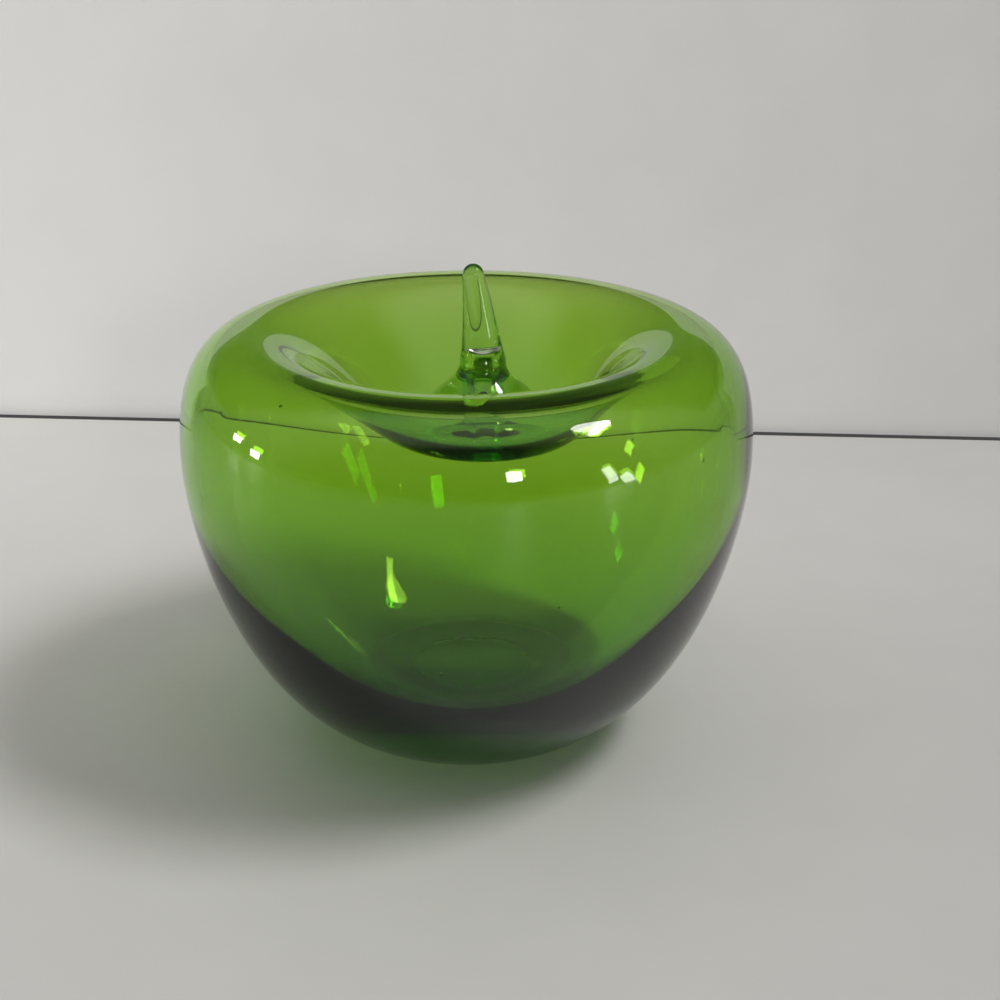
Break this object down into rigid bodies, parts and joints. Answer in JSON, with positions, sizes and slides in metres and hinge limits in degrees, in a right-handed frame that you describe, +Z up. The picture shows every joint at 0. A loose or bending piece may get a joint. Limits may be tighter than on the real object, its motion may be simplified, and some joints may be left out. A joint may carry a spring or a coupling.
{
  "type": "glass apple ornament",
  "caption": "Hollow hand-blown green glass apple with a broad dimple on top, a drawn glass stem fused over its neck and a flat ground base to stand on.",
  "frame": {"origin": "centre of the resting face, on the table", "axes": "+Z up through the body; the stem stands off the middle towards +X and its tip leans back; -Y faces the viewer"},
  "size_m": [0.152, 0.152, 0.1294],
  "materials": {
    "green_glass": "fire-polished transparent green glass",
    "stem_glass": "fire-polished pale green glass"
  },
  "bodies": {
    "root": {"blown_body": "green_glass", "stem": "stem_glass"}
  },
  "joints": []
}
